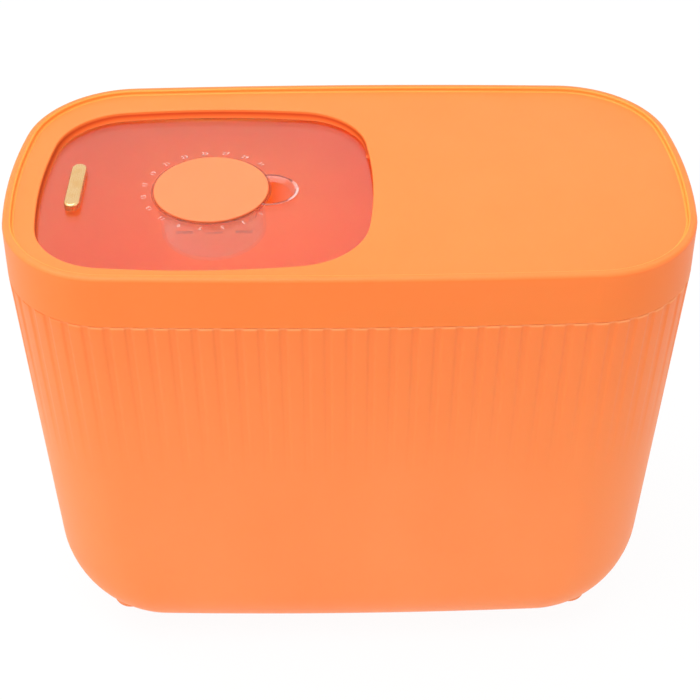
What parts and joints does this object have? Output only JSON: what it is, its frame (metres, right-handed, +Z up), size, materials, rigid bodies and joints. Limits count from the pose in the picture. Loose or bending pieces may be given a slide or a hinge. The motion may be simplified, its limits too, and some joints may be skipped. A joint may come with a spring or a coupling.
{
  "type": "rice dispenser",
  "caption": "Rice keeper: a reeded tub with a rounded base, a lift-off lid, a clear window panel that slides under the deck, and a turning dial over a small canister.",
  "frame": {"origin": "centre of the bounding box in plan, on the surface that the feet stand on", "axes": "+X to the right along the lid's long side, with the window in the -X half; +Y to the rear; +Z up"},
  "size_m": [0.36, 0.1882, 0.281],
  "materials": {
    "tub_plastic": "satin orange polypropylene with a fine moulded grain",
    "lid_plastic": "satin orange polypropylene with a fine moulded grain",
    "dial_plastic": "satin orange polypropylene",
    "window_plastic": "clear polished plastic, lightly haze-tinted",
    "canister_plastic": "frosted clear plastic",
    "frame_plastic": "satin orange polypropylene",
    "runner_plastic": "orange acetal strip",
    "grip_gold": "satin gold-plated bar",
    "screw_steel": "plain steel screws with hexagon sockets",
    "seal_rubber": "pale silicone",
    "foot_rubber": "orange moulded rubber"
  },
  "bodies": {
    "tub": {"bucket": "tub_plastic", "foot_front_left": "foot_rubber", "foot_front_right": "foot_rubber", "foot_rear_left": "foot_rubber", "foot_rear_right": "foot_rubber", "lid_gasket": "seal_rubber"},
    "lid": {"lid_shell": "lid_plastic", "slide_frame": "frame_plastic", "slide_frame_screws": "screw_steel", "front_runner": "runner_plastic", "rear_runner": "runner_plastic"},
    "window": {"window_panel": "window_plastic", "grip_bar": "grip_gold", "grip_bar_screws": "screw_steel", "canister": "canister_plastic"},
    "dial": {"dial_disc": "dial_plastic", "dial_o_ring": "seal_rubber"}
  },
  "joints": [
    {"name": "lid_lift", "type": "slide", "parent": "tub", "child": "lid", "axis": [0, 0, 1], "range_m": [0, 0.06]},
    {"name": "window_slide", "type": "slide", "parent": "lid", "child": "window", "axis": [1, 0, 0], "range_m": [0, 0.15]},
    {"name": "dial_turn", "type": "hinge", "parent": "window", "child": "dial", "pos_m": [-0.0728, -0.0054, 0.2745], "axis": [0, 0, 1], "continuous": true}
  ]
}
